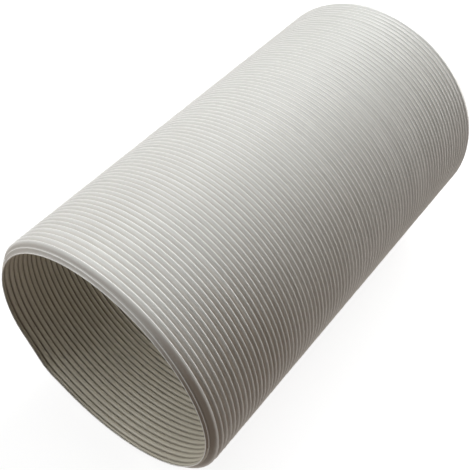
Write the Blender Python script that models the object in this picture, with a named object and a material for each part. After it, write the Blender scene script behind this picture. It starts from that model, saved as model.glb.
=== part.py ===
"""Exhaust hose of a portable air conditioner, pushed together to its storage length.

The hose is one wall. A plastic strip is wound into a left-handed helix, each turn folds
over the next, and the fold crests show outside as narrow ribs with a flat band between
them. In the bore the folds show as wide ribs with narrow grooves between them; the solid
has a groove under every second crest, so that it stays light. At the mouth the wall tapers
to a thin lip, and the far rim is plain and flat. The hose lies on its side: its axis is
along Y, the mouth looks towards -Y, and the origin is on the floor below the middle.
Lengths are in metres.

Angles around the hose are counted from straight up, turning towards +X. The crest moves
towards the mouth as this angle grows, which makes the helix left-handed.
"""
import math

import bmesh
import bpy

# Driving dimensions
OUTER_DIAMETER = 0.150  # over the rib crests
WALL_DEPTH = 0.0050  # folded wall, from the crests in to the ribs of the bore
RIB_HEIGHT = 0.0010  # of a crest above the band beside it
RIB_PITCH = 0.00304  # along the hose for each turn
RIB_BACK = 0.0007  # length of the steep flank behind a crest
GROOVE_DEPTH = 0.0013  # of the groove in the bore, outwards from its ribs
GROOVE_BACK = 0.0005  # length of the steep flank behind a groove
TURNS = 85
CRESTS_FOR_A_GROOVE = 2
CUFF_LENGTH = 0.0024  # from the mouth to where the first crest starts
TAIL_LENGTH = 0.0023  # from where the last crest stops to the rear rim
LIP_WIDTH = 0.0012  # flat end of the mouth, outwards from the bore
TAPER_LENGTH = 0.0022  # from the mouth to where its taper reaches the band

# The round is drawn with flats, one of them straight down, and the strip starts at a corner
SIDES = 24
START_CORNER = 4.5
SMOOTH_ANGLE = math.radians(30)

STEP_ANGLE = 2 * math.pi / SIDES
CREST_RADIUS = OUTER_DIAMETER / 2
BAND_RADIUS = CREST_RADIUS - RIB_HEIGHT
BORE_RADIUS = CREST_RADIUS - WALL_DEPTH
GROOVE_RADIUS = BORE_RADIUS + GROOVE_DEPTH
GROOVE_PITCH = RIB_PITCH * CRESTS_FOR_A_GROOVE
GROOVE_TURNS = TURNS // CRESTS_FOR_A_GROOVE
LENGTH = CUFF_LENGTH + TURNS * RIB_PITCH + TAIL_LENGTH


def clear_scene():
    """Remove every object that the scene holds."""
    for old in list(bpy.data.objects):
        bpy.data.objects.remove(old, do_unlink=True)


def hose_plastic():
    """Light warm grey plastic with a satin finish."""
    material = bpy.data.materials.new("hose_plastic")
    material.use_nodes = True
    shader = material.node_tree.nodes["Principled BSDF"]
    shader.inputs["Base Color"].default_value = (0.60, 0.585, 0.555, 1.0)
    shader.inputs["Roughness"].default_value = 0.42
    shader.inputs["Metallic"].default_value = 0.0
    return material


def corner(step, radius, along):
    """A corner of the round: its flats lie at the radius, so its corners lie just outside."""
    angle = -(START_CORNER + step) * STEP_ANGLE
    reach = radius / math.cos(STEP_ANGLE / 2)
    return (reach * math.sin(angle), along, reach * math.cos(angle))


def ring(mesh, radius, along):
    """One level ring of corners, with its first corner given again at its end."""
    corners = [mesh.verts.new(corner(step, radius, along)) for step in range(SIDES)]
    return corners + corners[:1]


def helix(mesh, radius, start, turns, pitch):
    """One corner for each step of the way round, a pitch further on with every turn."""
    rise = pitch / SIDES
    steps = range(turns * SIDES + 1)
    return [mesh.verts.new(corner(step, radius, start + step * rise)) for step in steps]


def bridge(mesh, near, far):
    """Join two rows of corners, one face for each step."""
    for step in range(len(near) - 1):
        mesh.faces.new((near[step], near[step + 1], far[step + 1], far[step]))


def build_hose():
    """The closed wall: ribbed outside and in the bore, tapered to a thin flat lip at the mouth."""
    mesh = bmesh.new()
    bore_front = ring(mesh, BORE_RADIUS, 0.0)
    lip_edge = ring(mesh, BORE_RADIUS + LIP_WIDTH, 0.0)
    cuff = ring(mesh, BAND_RADIUS, TAPER_LENGTH)
    crest = helix(mesh, CREST_RADIUS, CUFF_LENGTH, TURNS, RIB_PITCH)
    band = helix(mesh, BAND_RADIUS, CUFF_LENGTH + RIB_BACK, TURNS, RIB_PITCH)
    rim = ring(mesh, BAND_RADIUS, LENGTH)
    bore_rear = ring(mesh, BORE_RADIUS, LENGTH)
    groove = helix(mesh, GROOVE_RADIUS, CUFF_LENGTH, GROOVE_TURNS, GROOVE_PITCH)
    rib_start = CUFF_LENGTH + GROOVE_BACK
    rib = helix(mesh, BORE_RADIUS, rib_start, GROOVE_TURNS, GROOVE_PITCH)

    bridge(mesh, bore_front, lip_edge)
    bridge(mesh, lip_edge, cuff)
    bridge(mesh, cuff, crest[: SIDES + 1])
    bridge(mesh, crest, band)
    bridge(mesh, band[:-SIDES], crest[SIDES:])
    bridge(mesh, band[-SIDES - 1 :], rim)
    bridge(mesh, rim, bore_rear)
    bridge(mesh, bore_rear, rib[-SIDES - 1 :])
    bridge(mesh, groove[SIDES:], rib[:-SIDES])
    bridge(mesh, rib, groove)
    bridge(mesh, groove[: SIDES + 1], bore_front)

    # The cut ends of the crests and grooves, each a step of one turn
    mesh.faces.new((cuff[0], crest[0], band[0], crest[SIDES]))
    mesh.faces.new((band[-SIDES - 1], crest[-1], band[-1], rim[0]))
    mesh.faces.new((groove[SIDES], rib[0], groove[0], bore_front[0]))
    mesh.faces.new((bore_rear[0], rib[-1], groove[-1], rib[-SIDES - 1]))

    bmesh.ops.recalc_face_normals(mesh, faces=mesh.faces)
    data = bpy.data.meshes.new("hose")
    mesh.to_mesh(data)
    mesh.free()
    data.shade_smooth()
    data.set_sharp_from_angle(angle=SMOOTH_ANGLE)
    data.materials.append(hose_plastic())

    hose = bpy.data.objects.new("hose", data)
    hose.location = (0.0, -LENGTH / 2, CREST_RADIUS)
    bpy.context.scene.collection.objects.link(hose)
    return hose


clear_scene()
build_hose()
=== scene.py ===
# %% [markdown]
# # An air conditioner's exhaust hose, pushed together
# The hose is one strip of soft plastic, wound into a left-handed helix. Every turn is folded
# over the next one, so the outside shows a narrow crest and a flat band for each turn, and
# the bore shows wide round ribs with thin dark grooves between them.
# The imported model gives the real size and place: one solid named hose, which lies along Y
# with its mouth towards -Y. It stays where it is, and a finer surface stands in for it.

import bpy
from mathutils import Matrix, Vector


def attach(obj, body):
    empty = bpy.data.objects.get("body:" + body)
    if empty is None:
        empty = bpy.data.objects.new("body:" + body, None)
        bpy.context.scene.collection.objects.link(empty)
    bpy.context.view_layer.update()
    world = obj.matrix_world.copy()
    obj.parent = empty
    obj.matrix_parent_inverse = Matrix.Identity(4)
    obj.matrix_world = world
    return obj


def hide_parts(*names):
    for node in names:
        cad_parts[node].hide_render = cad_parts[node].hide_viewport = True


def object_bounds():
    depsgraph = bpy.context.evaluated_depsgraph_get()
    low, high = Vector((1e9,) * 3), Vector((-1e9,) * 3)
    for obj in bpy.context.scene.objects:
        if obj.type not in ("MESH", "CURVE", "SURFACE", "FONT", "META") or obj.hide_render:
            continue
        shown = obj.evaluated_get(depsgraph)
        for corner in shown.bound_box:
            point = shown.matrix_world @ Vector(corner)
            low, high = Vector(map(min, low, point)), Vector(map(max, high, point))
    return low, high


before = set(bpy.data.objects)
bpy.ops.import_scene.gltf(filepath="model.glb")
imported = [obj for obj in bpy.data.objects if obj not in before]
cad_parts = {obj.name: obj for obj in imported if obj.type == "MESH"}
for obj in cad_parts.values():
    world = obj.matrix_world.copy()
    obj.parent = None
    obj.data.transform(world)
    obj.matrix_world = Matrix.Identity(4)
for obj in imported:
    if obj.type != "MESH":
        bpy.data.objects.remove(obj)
cad_low, cad_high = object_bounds()
print("packed model from", tuple(cad_low), "to", tuple(cad_high))

# %% Modules and units
import math

import bpy
import numpy as np

MM = 0.001
random = np.random.default_rng(20)

# %% [markdown]
# ## The camera
# The photograph looks down into the mouth from the front right. The picture is a crop, so
# its optical centre lies a little left of and above its middle, and the camera's shift says
# so.

# %% The camera
CAMERA_PLACE = (0.18389, -0.27252, 0.43104)
CAMERA_AZIMUTH = math.radians(38.52)
CAMERA_ELEVATION = math.radians(46.53)
LENS, SENSOR_WIDTH = 62.28, 36.0  # in millimetres, as the camera takes them
SHIFT_X, SHIFT_Y = 0.0558, -0.0669  # in widths of the picture
NEAREST_SEEN = 0.01


def make_camera():
    """A level camera: tilted down from the horizon, then turned about the upright."""
    data = bpy.data.cameras.new("camera")
    data.sensor_width = SENSOR_WIDTH
    data.lens = LENS
    data.shift_x = SHIFT_X
    data.shift_y = SHIFT_Y
    data.clip_start = NEAREST_SEEN
    camera = bpy.data.objects.new("camera", data)
    camera.location = CAMERA_PLACE
    camera.rotation_euler = (math.pi / 2 - CAMERA_ELEVATION, 0.0, CAMERA_AZIMUTH)
    bpy.context.scene.collection.objects.link(camera)
    bpy.context.scene.camera = camera
    return camera


camera = make_camera()
print("camera", camera.data.lens, "mm at", CAMERA_PLACE)

# %% [markdown]
# ## The strip's crest line
# On the real hose one crest runs along the whole strip. It could be a screw modifier with an
# even pitch, but the two free ends of a collapsed hose spring open a little, and the first
# and last turns die out in the rolled ends. So the crest line is a function: turns counted
# along the strip in, place along the hose and height out. Turn 0 is the first full crest
# where it passes the top. A step further along the strip turns from the top towards -X.

# %% Sizes of the wall
crest_radius = (cad_high.z - cad_low.z) / 2
axis_height = (cad_high.z + cad_low.z) / 2
front = cad_low.y
rear = cad_high.y
RIB_HEIGHT = 1.0 * MM
WALL_DEPTH = 5.0 * MM  # from the crests in to the ribs of the bore
band_radius = crest_radius - RIB_HEIGHT
bore_radius = crest_radius - WALL_DEPTH
print("radius over the crests", crest_radius, "length", rear - front)

# %% The strip's steps
AROUND = 68  # steps of the strip for each turn
FIRST_TURN = -1.83  # where the strip leaves the lip
LAST_TURN = 84.5
LAST_CREST = 84  # the last turn whose crest passes the top
strip_steps = round((LAST_TURN - FIRST_TURN) * AROUND)
turns = FIRST_TURN + np.arange(strip_steps + AROUND + 1) / AROUND
print("the strip has", strip_steps, "steps in", LAST_TURN - FIRST_TURN, "turns")


# %% Where the crest runs
def ease(low, high, x):
    """0 below low, 1 above high, and the cubic 3t^2 - 2t^3 in between."""
    t = np.clip((x - low) / (high - low), 0, 1)
    return t * t * (3 - 2 * t)


def drift(reach):
    """Smooth random values of unit size: white noise averaged over a bell of reach steps."""
    bell = np.hanning(2 * reach + 1)
    noise = random.normal(size=turns.size + 2 * reach)
    return np.convolve(noise, bell / np.sqrt((bell**2).sum()), "valid")


FIRST_CREST = 4.86 * MM  # behind the mouth's plane, where turn 0 passes the top
EVEN_PITCH = 3.011 * MM
FRONT_SLACK, FRONT_SLACK_TURNS = 1.54 * MM, 6
REAR_SLACK, REAR_SLACK_TURNS = 0.98 * MM, 8
CUFF_START = 0.9 * MM  # from each end plane to where the strip's edge runs out
CUFF_SLOPE = 0.3 * MM
FREE_FROM, FREE_TO = (-0.5, 3), (82, 84)  # turns over which the crest starts and stops to wander
SLOW_WANDER, SLOW_STEPS = 0.06, 30  # in millimetres, and in steps of the strip
QUICK_WANDER, QUICK_STEPS = 0.02, 9


def crest_place(turn):
    """Even pitch, plus slack that dies out exponentially from each end, kept off the ends."""
    even = EVEN_PITCH * turn
    slack = FRONT_SLACK * (1 - np.exp(-turn / FRONT_SLACK_TURNS))
    slack += REAR_SLACK * np.exp((turn - LAST_CREST) / REAR_SLACK_TURNS)
    place = front + FIRST_CREST + even + slack
    lowest = front + CUFF_START + CUFF_SLOPE * (turn - FIRST_TURN)
    highest = rear - CUFF_START - CUFF_SLOPE * (LAST_TURN + 1 - turn)
    return np.minimum(np.maximum(place, lowest), highest)


free = ease(*FREE_FROM, turns) * (1 - ease(*FREE_TO, turns))
wander = (SLOW_WANDER * drift(SLOW_STEPS) + QUICK_WANDER * drift(QUICK_STEPS)) * MM
crest_y = crest_place(turns) + free * wander
print("the crest passes the top from", *np.interp([0, LAST_CREST], turns, crest_y))


# %% How high and wide the crest is
HEM_HEIGHT, HEM_WIDTH = 0.40 * MM, 0.85 * MM
CREST_WIDTH = 0.38 * MM
LOWERING, LOWERING_STEPS = 0.05, 12  # share of its height that a crest loses here and there
LIP_GROOVE = 0.55  # depth of the groove behind the lip, as a share of the full groove
# Turns over which a form comes in or dies out
HEM_FROM, CREST_FROM, CREST_TO = (-1.4, -1.2), (-0.85, -0.5), (84.2, 84.5)
LIP_GROOVE_TO, GROOVE_FROM, GROOVE_TO = (-1.3, -1.1), (-0.95, -0.8), (84.0, 84.4)

full_crest = ease(*CREST_FROM, turns)
crest_h = HEM_HEIGHT + (RIB_HEIGHT - HEM_HEIGHT) * full_crest
crest_h *= ease(*HEM_FROM, turns) * (1 - ease(*CREST_TO, turns))
crest_h *= 1 - LOWERING * np.abs(drift(LOWERING_STEPS))
crest_w = HEM_WIDTH + (CREST_WIDTH - HEM_WIDTH) * full_crest
groove_full = LIP_GROOVE * (1 - ease(*LIP_GROOVE_TO, turns)) + ease(*GROOVE_FROM, turns)
groove_full *= 1 - ease(*GROOVE_TO, turns)
print("the hem stands", HEM_HEIGHT, "and a rib", RIB_HEIGHT, "over the band")

# %% [markdown]
# ## The fold's section
# Outside, a fold is a round bead that drops steeply behind and slopes gently up from the
# band in front, because each turn leans on the one behind it. Inside it is a wide convex
# rib between two thin grooves. Both sections are carried along the crest line, so the
# surface is a function of two parameters: the turn, and the share of a pitch behind the
# crest. The last share of one turn meets the crest of the next turn, so one sheet closes
# on itself all the way along. A flat cylinder with a bump would be lighter, but it would
# lose the ribs in the outline.

# %% Outside of the folds
OUTER_SHARES = np.array([0, 0.08, 0.16, 0.24, 0.32, 0.45, 0.60, 0.75, 0.86, 0.94])
BAND_RISE = 0.30  # share of the rib's height that the band climbs by itself
BAND_CLIMB = (0.4, 1.0)  # shares of a pitch over which it climbs
CREASE_BEHIND, CREASE_WIDTH, CREASE_DEPTH = 0.80 * MM, 0.32 * MM, 0.38 * MM
TAPER_DEPTH = 3.8 * MM  # behind the mouth, where its taper reaches the band
TAPER_SLOPE = 1.2
TAPER_ROUND = 0.3 * MM


def bead(distance, width):
    """Bell-shaped height: e to the minus square of the distance, counted in widths."""
    return np.exp(-((distance / width) ** 2))


def taper(depth):
    """How far the mouth lies inside the band.

    The slope times the depth left to the band; the root of its square and four times the
    rounding's square keeps it above 0 and rounds the corner."""
    left = TAPER_DEPTH - depth
    return TAPER_SLOPE * (left + np.sqrt(left * left + 4 * TAPER_ROUND**2)) / 2


now = slice(0, strip_steps + 1)
following = slice(AROUND, strip_steps + AROUND + 1)
pitch = (crest_y[following] - crest_y[now])[:, None]


def outer_radius(share):
    """Band, plus this crest's back and crease, the next crest's front and the slope to it."""
    height, next_height = crest_h[now, None], crest_h[following, None]
    width, next_width = crest_w[now, None], crest_w[following, None]
    radius = band_radius + height * bead(share * pitch, width)
    radius = radius + (1 - BAND_RISE) * next_height * bead((1 - share) * pitch, next_width)
    radius = radius + BAND_RISE * next_height * ease(*BAND_CLIMB, share)
    return radius - CREASE_DEPTH * bead(share * pitch - CREASE_BEHIND, CREASE_WIDTH)


outer_y = crest_y[now, None] + OUTER_SHARES * pitch
outer_r = outer_radius(OUTER_SHARES[None, :]) - taper(outer_y - front)
print("outside radius from", outer_r.min(), "to", outer_r.max())

# %% Inside of the folds
INNER_SHARES = np.array([0, 0.05, 0.12, 0.50, 0.88, 0.95])
GROOVE_DEPTH = 1.5 * MM
GROOVE_WIDTH = 0.32 * MM
RIB_CROWN = 0.50 * MM


def inner_radius(share):
    """Bore, hollowed by a groove under each crest, with the rib between crowned inwards."""
    full, next_full = groove_full[now, None], groove_full[following, None]
    radius = bore_radius + RIB_CROWN * (2 * share - 1) ** 2 * np.minimum(full, next_full)
    radius = radius + GROOVE_DEPTH * full * bead(share * pitch, GROOVE_WIDTH)
    return radius + GROOVE_DEPTH * next_full * bead((1 - share) * pitch, GROOVE_WIDTH)


inner_r = inner_radius(INNER_SHARES[None, :])
inner_y = crest_y[now, None] + INNER_SHARES * pitch
print("inside radius from", inner_r.min(), "to", inner_r.max())

# %% [markdown]
# ## The two ends
# At the mouth the wall tapers down to a thin rolled lip round the bore, with a shallow groove
# between the lip and the hem of the first fold. The rear end is cut flat: a soft bead
# outside, a shallow trough and the same lip. Both could be turned with a spin, but rings
# that take their depth from the strip's edge meet it without a gap.

# %% The lip
LIP_ROUND = 0.32 * MM
LIP_INSIDE = 0.25 * MM  # the lip stands this far into the bore
LIP_ARC = [90, 60, 30, 0, -30, -60]  # degrees, one for each ring
lip_centre = bore_radius - LIP_INSIDE + LIP_ROUND
print("the lip is rolled about radius", lip_centre)


def arc_section(centre, size, degrees):
    """Radius and depth of an arc: 90 degrees faces the bore and 0 the end plane.

    The radius is the centre less size times the sine, the depth size times 1 - cosine."""
    arc = np.radians(degrees)[:, None]
    return centre - size * np.sin(arc), size * (1 - np.cos(arc))


# %% Section of the mouth
HEM_GROOVE_DEPTH = 0.20 * MM
SIDE_SHARES = np.array([[0.25], [0.5], [0.75]])  # of the way from the lip to the strip's edge
angle_of_turn = -2 * math.pi * turns  # from straight up towards +X
front_angle = angle_of_turn[None, :AROUND]


def mouth_section():
    """Rings of the lip, then of the tapered band, with the hem's bell less a sine groove."""
    lip_r, lip_d = arc_section(lip_centre, LIP_ROUND, LIP_ARC)
    hem_d = crest_y[None, :AROUND] - front
    share = SIDE_SHARES
    side_d = lip_d[-1] + (hem_d - lip_d[-1]) * share
    hem_rise = crest_h[None, :AROUND] * bead(hem_d - side_d, crest_w[None, :AROUND])
    lip_rise = (lip_r[-1] - band_radius + taper(lip_d[-1])) * (1 - share) ** 2
    groove = HEM_GROOVE_DEPTH * np.sin(math.pi * share)
    side_r = band_radius - taper(side_d) + hem_rise + lip_rise - groove
    rings = [np.broadcast_to(ring, (len(ring), AROUND)) for ring in (lip_r, lip_d)]
    return np.concatenate([rings[0], side_r]), np.concatenate([rings[1], side_d])


mouth_r, mouth_d = mouth_section()
print("the mouth has", len(mouth_r), "rings from radius", mouth_r.min(), "to", mouth_r.max())

# %% Section of the rear rim
BEAD_ROUND = 0.65 * MM
TROUGH_DEPTH = 0.55 * MM
RIM_LIP_ARC, RIM_BEAD_ARC = LIP_ARC[:4], [0, -30, -60, -90]
FACE_RINGS = 5
rear_angle = angle_of_turn[None, strip_steps - AROUND : strip_steps]


def rim_section():
    """Rings of the lip, of a squared sine's trough across the face, and of the bead outside."""
    lip_r, lip_d = arc_section(lip_centre, LIP_ROUND, RIM_LIP_ARC)
    bead_centre = band_radius - BEAD_ROUND
    bead_r, bead_d = arc_section(bead_centre, BEAD_ROUND, RIM_BEAD_ARC)
    share = np.linspace(0, 1, FACE_RINGS + 2)[1:-1, None]
    face_r = lip_centre + (bead_centre - lip_centre) * share
    face_d = TROUGH_DEPTH * np.sin(math.pi * share) ** 2
    return np.concatenate([lip_r, face_r, bead_r]), np.concatenate([lip_d, face_d, bead_d])


rim_r, rim_d = rim_section()
print("the rear rim has", len(rim_r), "rings")

# %% [markdown]
# ## One closed sheet
# The section travels up the front face, back over the outside, down the rear face and
# forward along the bore. Rows of numbered corners are bridged along that way, so their faces
# point outwards. The strip's first and last edges lie on a slant, and a small fan of
# triangles closes each of the four places where a turn begins. One fault is left: the two
# fans at the mouth, 16 slivers, are wound the wrong way round, and should run in reverse.

# %% Points of the wall
def place_points(radius, along, angle):
    """Corners: radius times sine across, radius times cosine above the axis, and along."""
    radius, along, angle = np.broadcast_arrays(radius, along, angle)
    across = radius * np.sin(angle)
    up = axis_height + radius * np.cos(angle)
    return np.stack([across.ravel(), along.ravel(), up.ravel()], axis=1)


blocks = [
    place_points(outer_r, outer_y, angle_of_turn[now, None]),
    place_points(inner_r, inner_y, angle_of_turn[now, None]),
    place_points(mouth_r, front + mouth_d, front_angle),
    place_points(rim_r, rear - rim_d, rear_angle),
]
points = np.concatenate(blocks)
starts = np.cumsum([0] + [len(block) for block in blocks])
outer_id = starts[0] + np.arange(outer_r.size).reshape(outer_r.shape)
inner_id = starts[1] + np.arange(inner_r.size).reshape(inner_r.shape)
wrap = np.arange(AROUND + 1) % AROUND
mouth_id = (starts[2] + np.arange(len(blocks[2])).reshape(-1, AROUND))[:, wrap]
rim_id = (starts[3] + np.arange(len(blocks[3])).reshape(-1, AROUND))[:, wrap]
print("the wall has", len(points), "corners")

# %% [markdown]
# ## The mouth's wobble and kink
# A cut hose is never true: the real mouth waves forward and back by half a millimetre, and
# it was knocked at the lower left, where the rim bulges out beside a small dent. Both are
# smooth moves of the finished points, which fade out over the first few turns.

# %% Wobble and kink
WOBBLE = 0.56 * MM
WOBBLE_BACK = math.radians(165)  # where the mouth lies furthest back
WOBBLE_REACH = 2.2 * MM
KINK_ANGLE, KINK_WIDTH, KINK_OUT = math.radians(222), math.radians(7), 2.0 * MM
DENT_ANGLE, DENT_WIDTH, DENT_IN = math.radians(239), math.radians(9), 1.3 * MM
KINK_REACH = 6 * MM


def turned(angle, centre):
    """The smallest turn from centre to angle, between minus and plus half a turn."""
    return (angle - centre + math.pi) % (2 * math.pi) - math.pi


def shape_mouth(points):
    """Cosine wave of two lobes along the hose, and two bells in the radius, near the mouth."""
    across, along, up = points[:, 0], points[:, 1], points[:, 2] - axis_height
    angle, radius = np.arctan2(across, up), np.hypot(across, up)
    behind = along - front
    wave = WOBBLE * np.cos(2 * (angle - WOBBLE_BACK)) * bead(behind, WOBBLE_REACH)
    bulge = KINK_OUT * bead(turned(angle, KINK_ANGLE), KINK_WIDTH)
    dent = DENT_IN * bead(turned(angle, DENT_ANGLE), DENT_WIDTH)
    radius = radius + (bulge - dent) * np.exp(-np.maximum(behind, 0) / KINK_REACH)
    return place_points(radius, along + wave, angle)


straight = points
points = shape_mouth(straight)
print("the mouth's corners move by up to", np.linalg.norm(points - straight, axis=1).max())


# %% Faces of the wall
def bridge(near, far, near_map, far_map):
    """Quads between two rows, and the map of each quad's corners, in one array each."""
    quads = np.stack([near[:-1], far[:-1], far[1:], near[1:]], axis=1)
    maps = np.stack([near_map[:-1], far_map[:-1], far_map[1:], near_map[1:]], axis=1)
    return quads, maps


def strip_map(row_turns, share):
    """The strip's own map: turns along it, and the share of a pitch across it."""
    return np.stack([row_turns, np.full(row_turns.shape, share)], axis=1)


def strip_faces(ids, shares, side):
    """All quads of one side of the strip; the last share meets the next turn's crest."""
    row_turns = turns[now]
    parts = []
    for p in range(len(shares) - 1):
        near = strip_map(row_turns, side + shares[p])
        far = strip_map(row_turns, side + shares[p + 1])
        parts.append(bridge(ids[:, p], ids[:, p + 1], near, far))
    near = strip_map(row_turns[:-AROUND], side + shares[-1])
    far = strip_map(row_turns[:-AROUND], side + 1)
    parts.append(bridge(ids[:-AROUND, -1], ids[AROUND:, 0], near, far))
    return parts


def flipped(part):
    """The same faces seen from the other side."""
    return part[0][:, ::-1], part[1][:, ::-1]


OUTSIDE, INSIDE = 0, 2  # added to the share across, so that a material can tell them apart
quads = strip_faces(outer_id, OUTER_SHARES, OUTSIDE)
quads += [flipped(part) for part in strip_faces(inner_id, INNER_SHARES, INSIDE)]
print("the strip has", sum(len(part[0]) for part in quads), "quads")


# %% Faces of the ends
def ring_faces(ids, row_turns, shares):
    """All quads between rings, each ring with its own share for the finish."""
    maps = [strip_map(row_turns, share) for share in shares]
    rows = range(len(ids) - 1)
    return [bridge(ids[row], ids[row + 1], maps[row], maps[row + 1]) for row in rows]


mouth_turns = turns[: AROUND + 1]
rim_turns = turns[strip_steps - AROUND : strip_steps + 1]
# The lip takes the crests' painted highlight, and the rest is finished as the middle of a band
LIKE_CREST, LIKE_BAND, LIKE_EDGE = 0.0, 0.5, 0.9
mouth_shares = [LIKE_CREST] * len(LIP_ARC) + [LIKE_BAND] * (len(mouth_id) - len(LIP_ARC))
rim_shares = [LIKE_CREST] * len(RIM_LIP_ARC) + [LIKE_BAND] * (len(rim_id) - len(RIM_LIP_ARC))
quads += ring_faces(mouth_id, mouth_turns, mouth_shares)
quads += [flipped(part) for part in ring_faces(rim_id, rim_turns, rim_shares)]
print("with its ends it has", sum(len(part[0]) for part in quads), "quads")

# %% Seams between the strip and the ends
seams = [
    (mouth_id[-1], outer_id[: AROUND + 1, 0], mouth_turns, OUTSIDE + LIKE_BAND),
    (inner_id[: AROUND + 1, 0], mouth_id[0], mouth_turns, INSIDE + LIKE_BAND),
    (outer_id[-AROUND - 1 :, -1], rim_id[-1], rim_turns, OUTSIDE + LIKE_EDGE),
    (rim_id[0], inner_id[-AROUND - 1 :, -1], rim_turns, INSIDE + LIKE_BAND),
]
for near, far, row_turns, seam_share in seams:
    seam_map = strip_map(row_turns, seam_share)
    quads.append(bridge(near, far, seam_map, seam_map))


def fan(centre, rim):
    """Triangles from one corner to each pair of neighbours in a run of corners."""
    rim = np.asarray(rim)
    return np.stack([np.full(len(rim) - 1, centre), rim[:-1], rim[1:]], axis=1)


tris = [
    fan(mouth_id[-1, 0], [*outer_id[0], outer_id[AROUND, 0]]),
    fan(mouth_id[0, 0], [*inner_id[0], inner_id[AROUND, 0]])[:, ::-1],
    fan(rim_id[-1, 0], [outer_id[-AROUND - 1, -1], *outer_id[-1]]),
    fan(rim_id[0, 0], [inner_id[-AROUND - 1, -1], *inner_id[-1]])[:, ::-1],
]
quad_corners = np.concatenate([part[0] for part in quads])
quad_maps = np.concatenate([part[1] for part in quads])
tri_corners = np.concatenate(tris)
triangle_count = 2 * len(quad_corners) + len(tri_corners)
print("the wall has", triangle_count, "triangles")


# %% The mesh
def wall_mesh(name):
    """One mesh from the arrays: corners, then quads, then the few closing triangles."""
    mesh = bpy.data.meshes.new(name)
    corners = np.concatenate([quad_corners.ravel(), tri_corners.ravel()])
    counts = np.concatenate([np.full(len(quad_corners), 4), np.full(len(tri_corners), 3)])
    mesh.vertices.add(len(points))
    mesh.vertices.foreach_set("co", points.astype(np.float32).ravel())
    mesh.loops.add(len(corners))
    mesh.loops.foreach_set("vertex_index", corners.astype(np.int32))
    mesh.polygons.add(len(counts))
    loop_starts = np.concatenate([[0], np.cumsum(counts)[:-1]])
    mesh.polygons.foreach_set("loop_start", loop_starts.astype(np.int32))
    mesh.update(calc_edges=True)
    layer = mesh.uv_layers.new(name="strip")
    tri_maps = np.tile([0.0, LIKE_BAND], (tri_corners.size, 1))
    layer.data.foreach_set("uv", np.concatenate([quad_maps.reshape(-1, 2), tri_maps]).ravel())
    mesh.polygons.foreach_set("use_smooth", np.ones(len(counts), bool))
    print("mesh needed repair:", mesh.validate())
    return mesh


hose = bpy.data.objects.new("hose_folds", wall_mesh("hose_folds"))
bpy.context.scene.collection.objects.link(hose)
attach(hose, "root")
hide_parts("hose")

# %% [markdown]
# ## Writing a finish as sums
# A finish is arithmetic on patterns. A small class wraps a socket, so that a formula can be
# written with + and * and still becomes nodes. Every other node comes from one method.


# %% Sockets with arithmetic
class Signal:
    """An output socket; arithmetic on it adds Math nodes beside it."""

    def __init__(self, finish, socket):
        self.finish = finish
        self.socket = socket

    def math(self, operation, first, second):
        return self.finish.node("ShaderNodeMath", {"operation": operation}, {0: first, 1: second})

    def __add__(self, other):
        return self.math("ADD", self, other)

    def __radd__(self, other):
        return self.math("ADD", other, self)

    def __sub__(self, other):
        return self.math("SUBTRACT", self, other)

    def __rsub__(self, other):
        return self.math("SUBTRACT", other, self)

    def __mul__(self, other):
        return self.math("MULTIPLY", self, other)

    def __rmul__(self, other):
        return self.math("MULTIPLY", other, self)

    def __abs__(self):
        return self.finish.node("ShaderNodeMath", {"operation": "ABSOLUTE"}, {0: self})

    def fraction(self):
        """The part behind the decimal point."""
        return self.finish.node("ShaderNodeMath", {"operation": "FRACT"}, {0: self})


# %% Nodes of a finish
class Finish:
    """A material under construction."""

    def __init__(self, name):
        self.material = bpy.data.materials.new(name)
        self.material.use_nodes = True
        self.tree = self.material.node_tree
        self.shader = self.tree.nodes["Principled BSDF"]

    def set(self, socket, value):
        """Link a signal to a socket, or store a plain value in it."""
        if isinstance(value, Signal):
            self.tree.links.new(value.socket, socket)
        else:
            socket.default_value = value

    def node(self, kind, settings, sockets, output=0):
        """Add a node: its settings first, then the values or links of its sockets."""
        node = self.tree.nodes.new(kind)
        for name, value in settings.items():
            setattr(node, name, value)
        for key, value in sockets.items():
            self.set(node.inputs[key], value)
        return Signal(self, node.outputs[output])

    def parts(self, vector, first, second):
        """Two of a vector's three numbers."""
        signal = self.node("ShaderNodeSeparateXYZ", {}, {"Vector": vector}, first)
        return signal, Signal(self, signal.socket.node.outputs[second])

    def noise(self, vector, scale, detail):
        """Fractal noise from 0 to 1 with its mean near one half."""
        sockets = {"Vector": vector, "Scale": scale, "Detail": detail}
        return self.node("ShaderNodeTexNoise", {}, sockets)

    def rise(self, value, low, high):
        """Smooth step from 0 at low to 1 at high."""
        sockets = {"Value": value, "From Min": low, "From Max": high}
        return self.node("ShaderNodeMapRange", {"interpolation_type": "SMOOTHSTEP"}, sockets)

    def blend(self, share, first, second):
        """A colour between two colours."""
        sockets = {"Factor": share, 6: first, 7: second}
        return self.node("ShaderNodeMix", {"data_type": "RGBA"}, sockets, 2)


# %% [markdown]
# ## The hose's plastic
# The plastic is a light grey with a satin sheen. Along the strip it carries faint draw lines,
# across the bands fine creases from folding, and all over a soft grain. The crests and the
# lip are painted lighter, a painted highlight that is fainter towards the rear. Brown painted
# shade lies in the fold behind each crest, most of it near the mouth, on the bands of the
# right side and in the grooves of the bore, and the bore is yellowed. A painted picture could
# show all that, but sums of patterns stay sharp at any size. The patterns that follow the
# strip use its own map and the rest object coordinates, so nothing slides when the hose is
# seen from elsewhere.

# %% Places on the strip
finish = Finish("hose_plastic")
here = finish.node("ShaderNodeTexCoord", {}, {}, "Object")
strip = finish.node("ShaderNodeUVMap", {"uv_map": "strip"}, {})
turn, across = finish.parts(strip, "X", "Y")
right, up = finish.parts(here, "X", "Z")
share = across.fraction()
off_middle = abs(share - 0.5)
print("the finish reads the map", hose.data.uv_layers[0].name, "and object coordinates")

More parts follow.
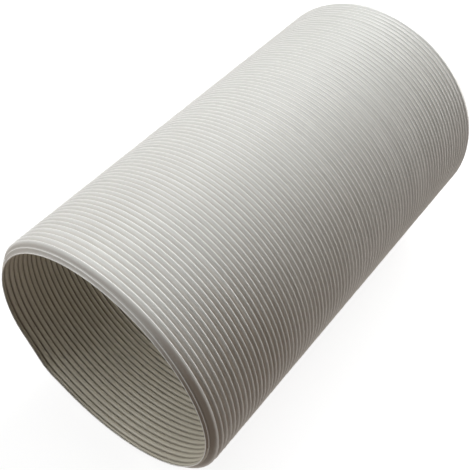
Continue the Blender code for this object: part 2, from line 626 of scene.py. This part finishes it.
# %% Masks
# Limits of share are parts of a pitch behind the crest, and those of off_middle are parts of
# a pitch from the middle between two crests
INSIDE_FROM, CREST_FROM_SHARE, CREST_TO_SHARE = (1.4, 1.6), (0.73, 0.94), (0.02, 0.16)
CREASE_SHADE_FROM, CREASE_SHADE_TO, FOLD_FROM, BORE_GROOVE = (0.07, 0.18), (0.50, 0.82), (0.36, 0.48), (0.27, 0.43)

inside = finish.rise(across, *INSIDE_FROM)
outside = 1 - inside
fold = finish.rise(off_middle, *FOLD_FROM)
# Painted shade: the grooves of the bore are painted darker
groove = finish.rise(off_middle, *BORE_GROOVE) * inside
crest = finish.rise(share, *CREST_FROM_SHARE) + 1 - finish.rise(share, *CREST_TO_SHARE)
crest = crest * outside
# Painted shade: the fold behind each crest is painted darker
behind = finish.rise(share, *CREASE_SHADE_FROM) * (1 - finish.rise(share, *CREASE_SHADE_TO)) * outside
print("dust lies from", CREASE_SHADE_FROM[0], "to", CREASE_SHADE_TO[1], "of a pitch behind a crest")

# %% Where painted shade lies near the mouth and on the right side
# Limits along the strip are turns, those across the hose and up are metres
CREASE_SHADE_TURNS, RIGHT_SHADE_TURNS, CUFF_TURNS = (8.0, 70.0), (6.0, 60.0), (-0.6, 0.4)
RIGHT_SIDE, RIGHT_SHADE_UP, CUFF_UP = (0.026, 0.071), (0.03, 0.09), (0.02, 0.07)
CREASE_SHADE_FADE, RIGHT_SHADE_FADE, CUFF_SHADE = 0.35, 0.65, 0.35

# Painted shade: the shade behind the crests is strongest near the mouth and fainter towards the
# rear
crease_shade_strength = 1 - CREASE_SHADE_FADE * finish.rise(turn, *CREASE_SHADE_TURNS)
# Painted shade: the bands on the right side and the right of the mouth's taper are painted darker,
# less so towards the rear
right_side = finish.rise(right, *RIGHT_SIDE)
fading = 1 - RIGHT_SHADE_FADE * finish.rise(turn, *RIGHT_SHADE_TURNS)
right_shade = right_side * finish.rise(up, *RIGHT_SHADE_UP) * fading
on_cuff = 1 - finish.rise(turn, *CUFF_TURNS)
cuff_shade = on_cuff * CUFF_SHADE * right_side * finish.rise(up, *CUFF_UP)
# The stain that this prints is painted shade on the right side
print("the stain starts", RIGHT_SIDE[0], "m right of the axis")

# %% Patterns
LINES_ALONG, LINES_ACROSS = 3.7, 9  # pattern steps for each turn and for each pitch
CREASES_ALONG, CREASES_ACROSS = 210, 1.5
CLOUD_SCALE, SPECK_SCALE, GRAIN_SCALE = 22.0, 900.0, 2600.0

lines_at = {"X": turn * LINES_ALONG, "Y": across * LINES_ACROSS}
creases_at = {"X": turn * CREASES_ALONG, "Y": across * CREASES_ACROSS}
lines_place = finish.node("ShaderNodeCombineXYZ", {}, lines_at)
creases_place = finish.node("ShaderNodeCombineXYZ", {}, creases_at)
draw_lines = finish.noise(lines_place, 1.0, 3.0)
creases = finish.noise(creases_place, 1.0, 2.0)
clouds = finish.noise(here, CLOUD_SCALE, 3.0)
specks = finish.noise(here, SPECK_SCALE, 2.0)
grain = finish.noise(here, GRAIN_SCALE, 2.0)
print("the patterns and masks take", len(finish.tree.nodes), "nodes")

# %% Colour
DARKER, LIGHTER = (0.545, 0.540, 0.522, 1), (0.625, 0.621, 0.604, 1)
HIGHLIGHT_COLOUR, YELLOWED, SHADE_COLOUR = (0.82, 0.82, 0.80, 1), (0.635, 0.598, 0.494, 1), (0.29, 0.250, 0.208, 1)
CREST_HIGHLIGHT, HIGHLIGHT_FADE, HIGHLIGHT_FADE_TURNS = 0.95, 0.4, (30.0, 84.0)
BORE_YELLOW, CREASE_SHADE, RIGHT_BAND_SHADE, GROOVE_SHADE = 0.85, 0.55, 0.8, 0.8

tone = 0.5 + 0.5 * (clouds - 0.5) + 0.25 * (specks - 0.5) + 0.5 * (draw_lines - 0.5)
plastic = finish.blend(tone, DARKER, LIGHTER)
# Painted highlight: the crests and the lip are painted lighter than the bands, less so towards the
# rear
bright = crest * (CREST_HIGHLIGHT - HIGHLIGHT_FADE * finish.rise(turn, *HIGHLIGHT_FADE_TURNS))
highlighted = finish.blend(bright, plastic, HIGHLIGHT_COLOUR)
yellowed = finish.blend(inside * BORE_YELLOW, highlighted, YELLOWED)
# Painted shade: brown in the folds behind the crests, on the bands of the right side and in the
# bore's grooves
bands = (right_shade * RIGHT_BAND_SHADE + cuff_shade) * (1 - crest) * outside
shade_amount = behind * crease_shade_strength * CREASE_SHADE + bands + groove * GROOVE_SHADE
painted_shade = shade_amount * (0.75 + 0.6 * (clouds + specks * 0.4 - 0.7))
finish.set(finish.shader.inputs["Base Color"], finish.blend(painted_shade, yellowed, SHADE_COLOUR))
print("plastic from", DARKER[:3], "to", LIGHTER[:3], "and dust", SHADE_COLOUR[:3])

# %% Roughness and relief
GRAIN_HEIGHT, CREASE_HEIGHT, LINE_HEIGHT = 0.012 * MM, 0.05 * MM, 0.03 * MM
BORE_SMOOTHER = 0.8
PLASTIC_IOR = 1.46

roughness = 0.40 + 0.10 * (clouds - 0.5) + 0.12 * (specks - 0.5) - 0.06 * crest + 0.2 * painted_shade
finish.set(finish.shader.inputs["Roughness"], roughness)
smoother = 1 - BORE_SMOOTHER * inside
height = grain * GRAIN_HEIGHT + creases * CREASE_HEIGHT * (1 - fold) * smoother
height = height + draw_lines * LINE_HEIGHT * smoother
relief = finish.node("ShaderNodeBump", {}, {"Height": height, "Distance": 1.0, "Strength": 1.0})
finish.set(finish.shader.inputs["Normal"], relief)
finish.shader.inputs["IOR"].default_value = PLASTIC_IOR
hose.data.materials.append(finish.material)
print("the finish has", len(finish.tree.nodes), "nodes")

# %% [markdown]
# ## The floor and the light
# The hose lies on a plain pale studio floor. The largest soft light hangs above and behind
# it, smaller ones stand behind on the right, on the left and in front, and a pale floor
# throws warm light back up. One light would be simpler, but a fit of single lights to the
# photograph's brightness gave weight to several. The top is bright and neutral this way, and
# the lower right falls away into warm shade, which painted shade on the bands of that side
# deepens.

# %% The floor
FLOOR_SIZE = 6.0
FLOOR_GLOW = 0.84
FLOOR_ROUGHNESS = 0.8
FLOOR_TONES = (0.18, 0.18, 0.18, 1), (0.22, 0.22, 0.22, 1)
WHITE = (1, 1, 1, 1)


def floor_finish():
    """Paint that mostly glows evenly, so that the shadow on it stays faint."""
    finish = Finish("studio_floor")
    here = finish.node("ShaderNodeTexCoord", {}, {}, "Object")
    tone = finish.noise(here, 3.0, 2.0)
    finish.set(finish.shader.inputs["Base Color"], finish.blend(tone, *FLOOR_TONES))
    finish.shader.inputs["Roughness"].default_value = FLOOR_ROUGHNESS
    finish.shader.inputs["Emission Color"].default_value = WHITE
    finish.shader.inputs["Emission Strength"].default_value = FLOOR_GLOW
    return finish.material


def make_floor():
    """A square sheet under the hose, half its size to each side, seen by the camera only."""
    half = FLOOR_SIZE / 2
    corners = [(-half, -half, 0), (half, -half, 0), (half, half, 0), (-half, half, 0)]
    mesh = bpy.data.meshes.new("floor")
    mesh.from_pydata(corners, [], [(0, 1, 2, 3)])
    mesh.materials.append(floor_finish())
    floor = bpy.data.objects.new("floor", mesh)
    bpy.context.scene.collection.objects.link(floor)
    floor.visible_diffuse = False
    floor.visible_glossy = False
    floor.visible_shadow = False
    return floor


floor = make_floor()
print("the floor is", *floor.dimensions, "m")


# %% The lights
def softbox(name, azimuth, elevation, distance, size, power, colour):
    """A square area light that looks at the hose's axis from an azimuth and an elevation.

    Azimuth 0 stands in front of the mouth, on -Y, and 90 on the right, on +X. The distance
    times the elevation's cosine is its reach over the floor, times the sine its rise."""
    data = bpy.data.lights.new(name, "AREA")
    data.shape = "SQUARE"
    data.size = size
    data.energy = power
    data.color = colour
    light = bpy.data.objects.new(name, data)
    a, e = math.radians(azimuth), math.radians(elevation)
    reach = distance * math.cos(e)
    rise = distance * math.sin(e) + axis_height
    light.location = (reach * math.sin(a), -reach * math.cos(a), rise)
    light.rotation_euler = (math.pi / 2 - e, 0.0, a)
    bpy.context.scene.collection.objects.link(light)
    return light


# %% The studio's lights
COOL, LESS_WARM, WARM = (0.985, 1.0, 1.0), (1.0, 0.98, 0.95), (1.0, 0.955, 0.91)
BOX_DISTANCE, BOX_SIZE = 1.5, 0.9
BOXES = [  # azimuth and elevation in degrees, power in watts
    ("rear", 184, 50, 21.2, COOL),
    ("rear_low", 172, 15, 8.0, WARM),
    ("right_low", 137, 16, 13.5, LESS_WARM),
    ("top_left", 268, 68, 8.0, COOL),
    ("front_left", 318, 42, 8.5, COOL),
    ("left_low", 270, 18, 3.5, WARM),
    ("front_low", 0, 15, 2.5, WARM),
]
for name, azimuth, elevation, power, colour in BOXES:
    softbox(name, azimuth, elevation, BOX_DISTANCE, BOX_SIZE, power, colour)

# The floor only shows to the camera, so a sheet of light just under it stands for its bounce
BOUNCE_BELOW, BOUNCE_SIZE, BOUNCE_POWER, BOUNCE_COLOUR = 0.02, 3.0, 12.4, (1.0, 0.87, 0.785)
bounce_drop = axis_height + BOUNCE_BELOW
bounce = softbox("bounce", 0, -90, bounce_drop, BOUNCE_SIZE, BOUNCE_POWER, BOUNCE_COLOUR)
print(len(BOXES), "soft lights, and the bounce light at", tuple(bounce.location))

# %% The studio's wall
# It is only a white ground for the camera and throws no light
WALL_GLOW = 0.88
world = bpy.data.worlds.new("studio")
bpy.context.scene.world = world
world.use_nodes = True
world.node_tree.nodes["Background"].inputs["Color"].default_value = WHITE
world.node_tree.nodes["Background"].inputs["Strength"].default_value = WALL_GLOW
world.cycles_visibility.diffuse = False
world.cycles_visibility.glossy = False
bpy.context.scene.view_settings.view_transform = "Standard"
print("the wall glows at", WALL_GLOW, "and the floor at", FLOOR_GLOW)
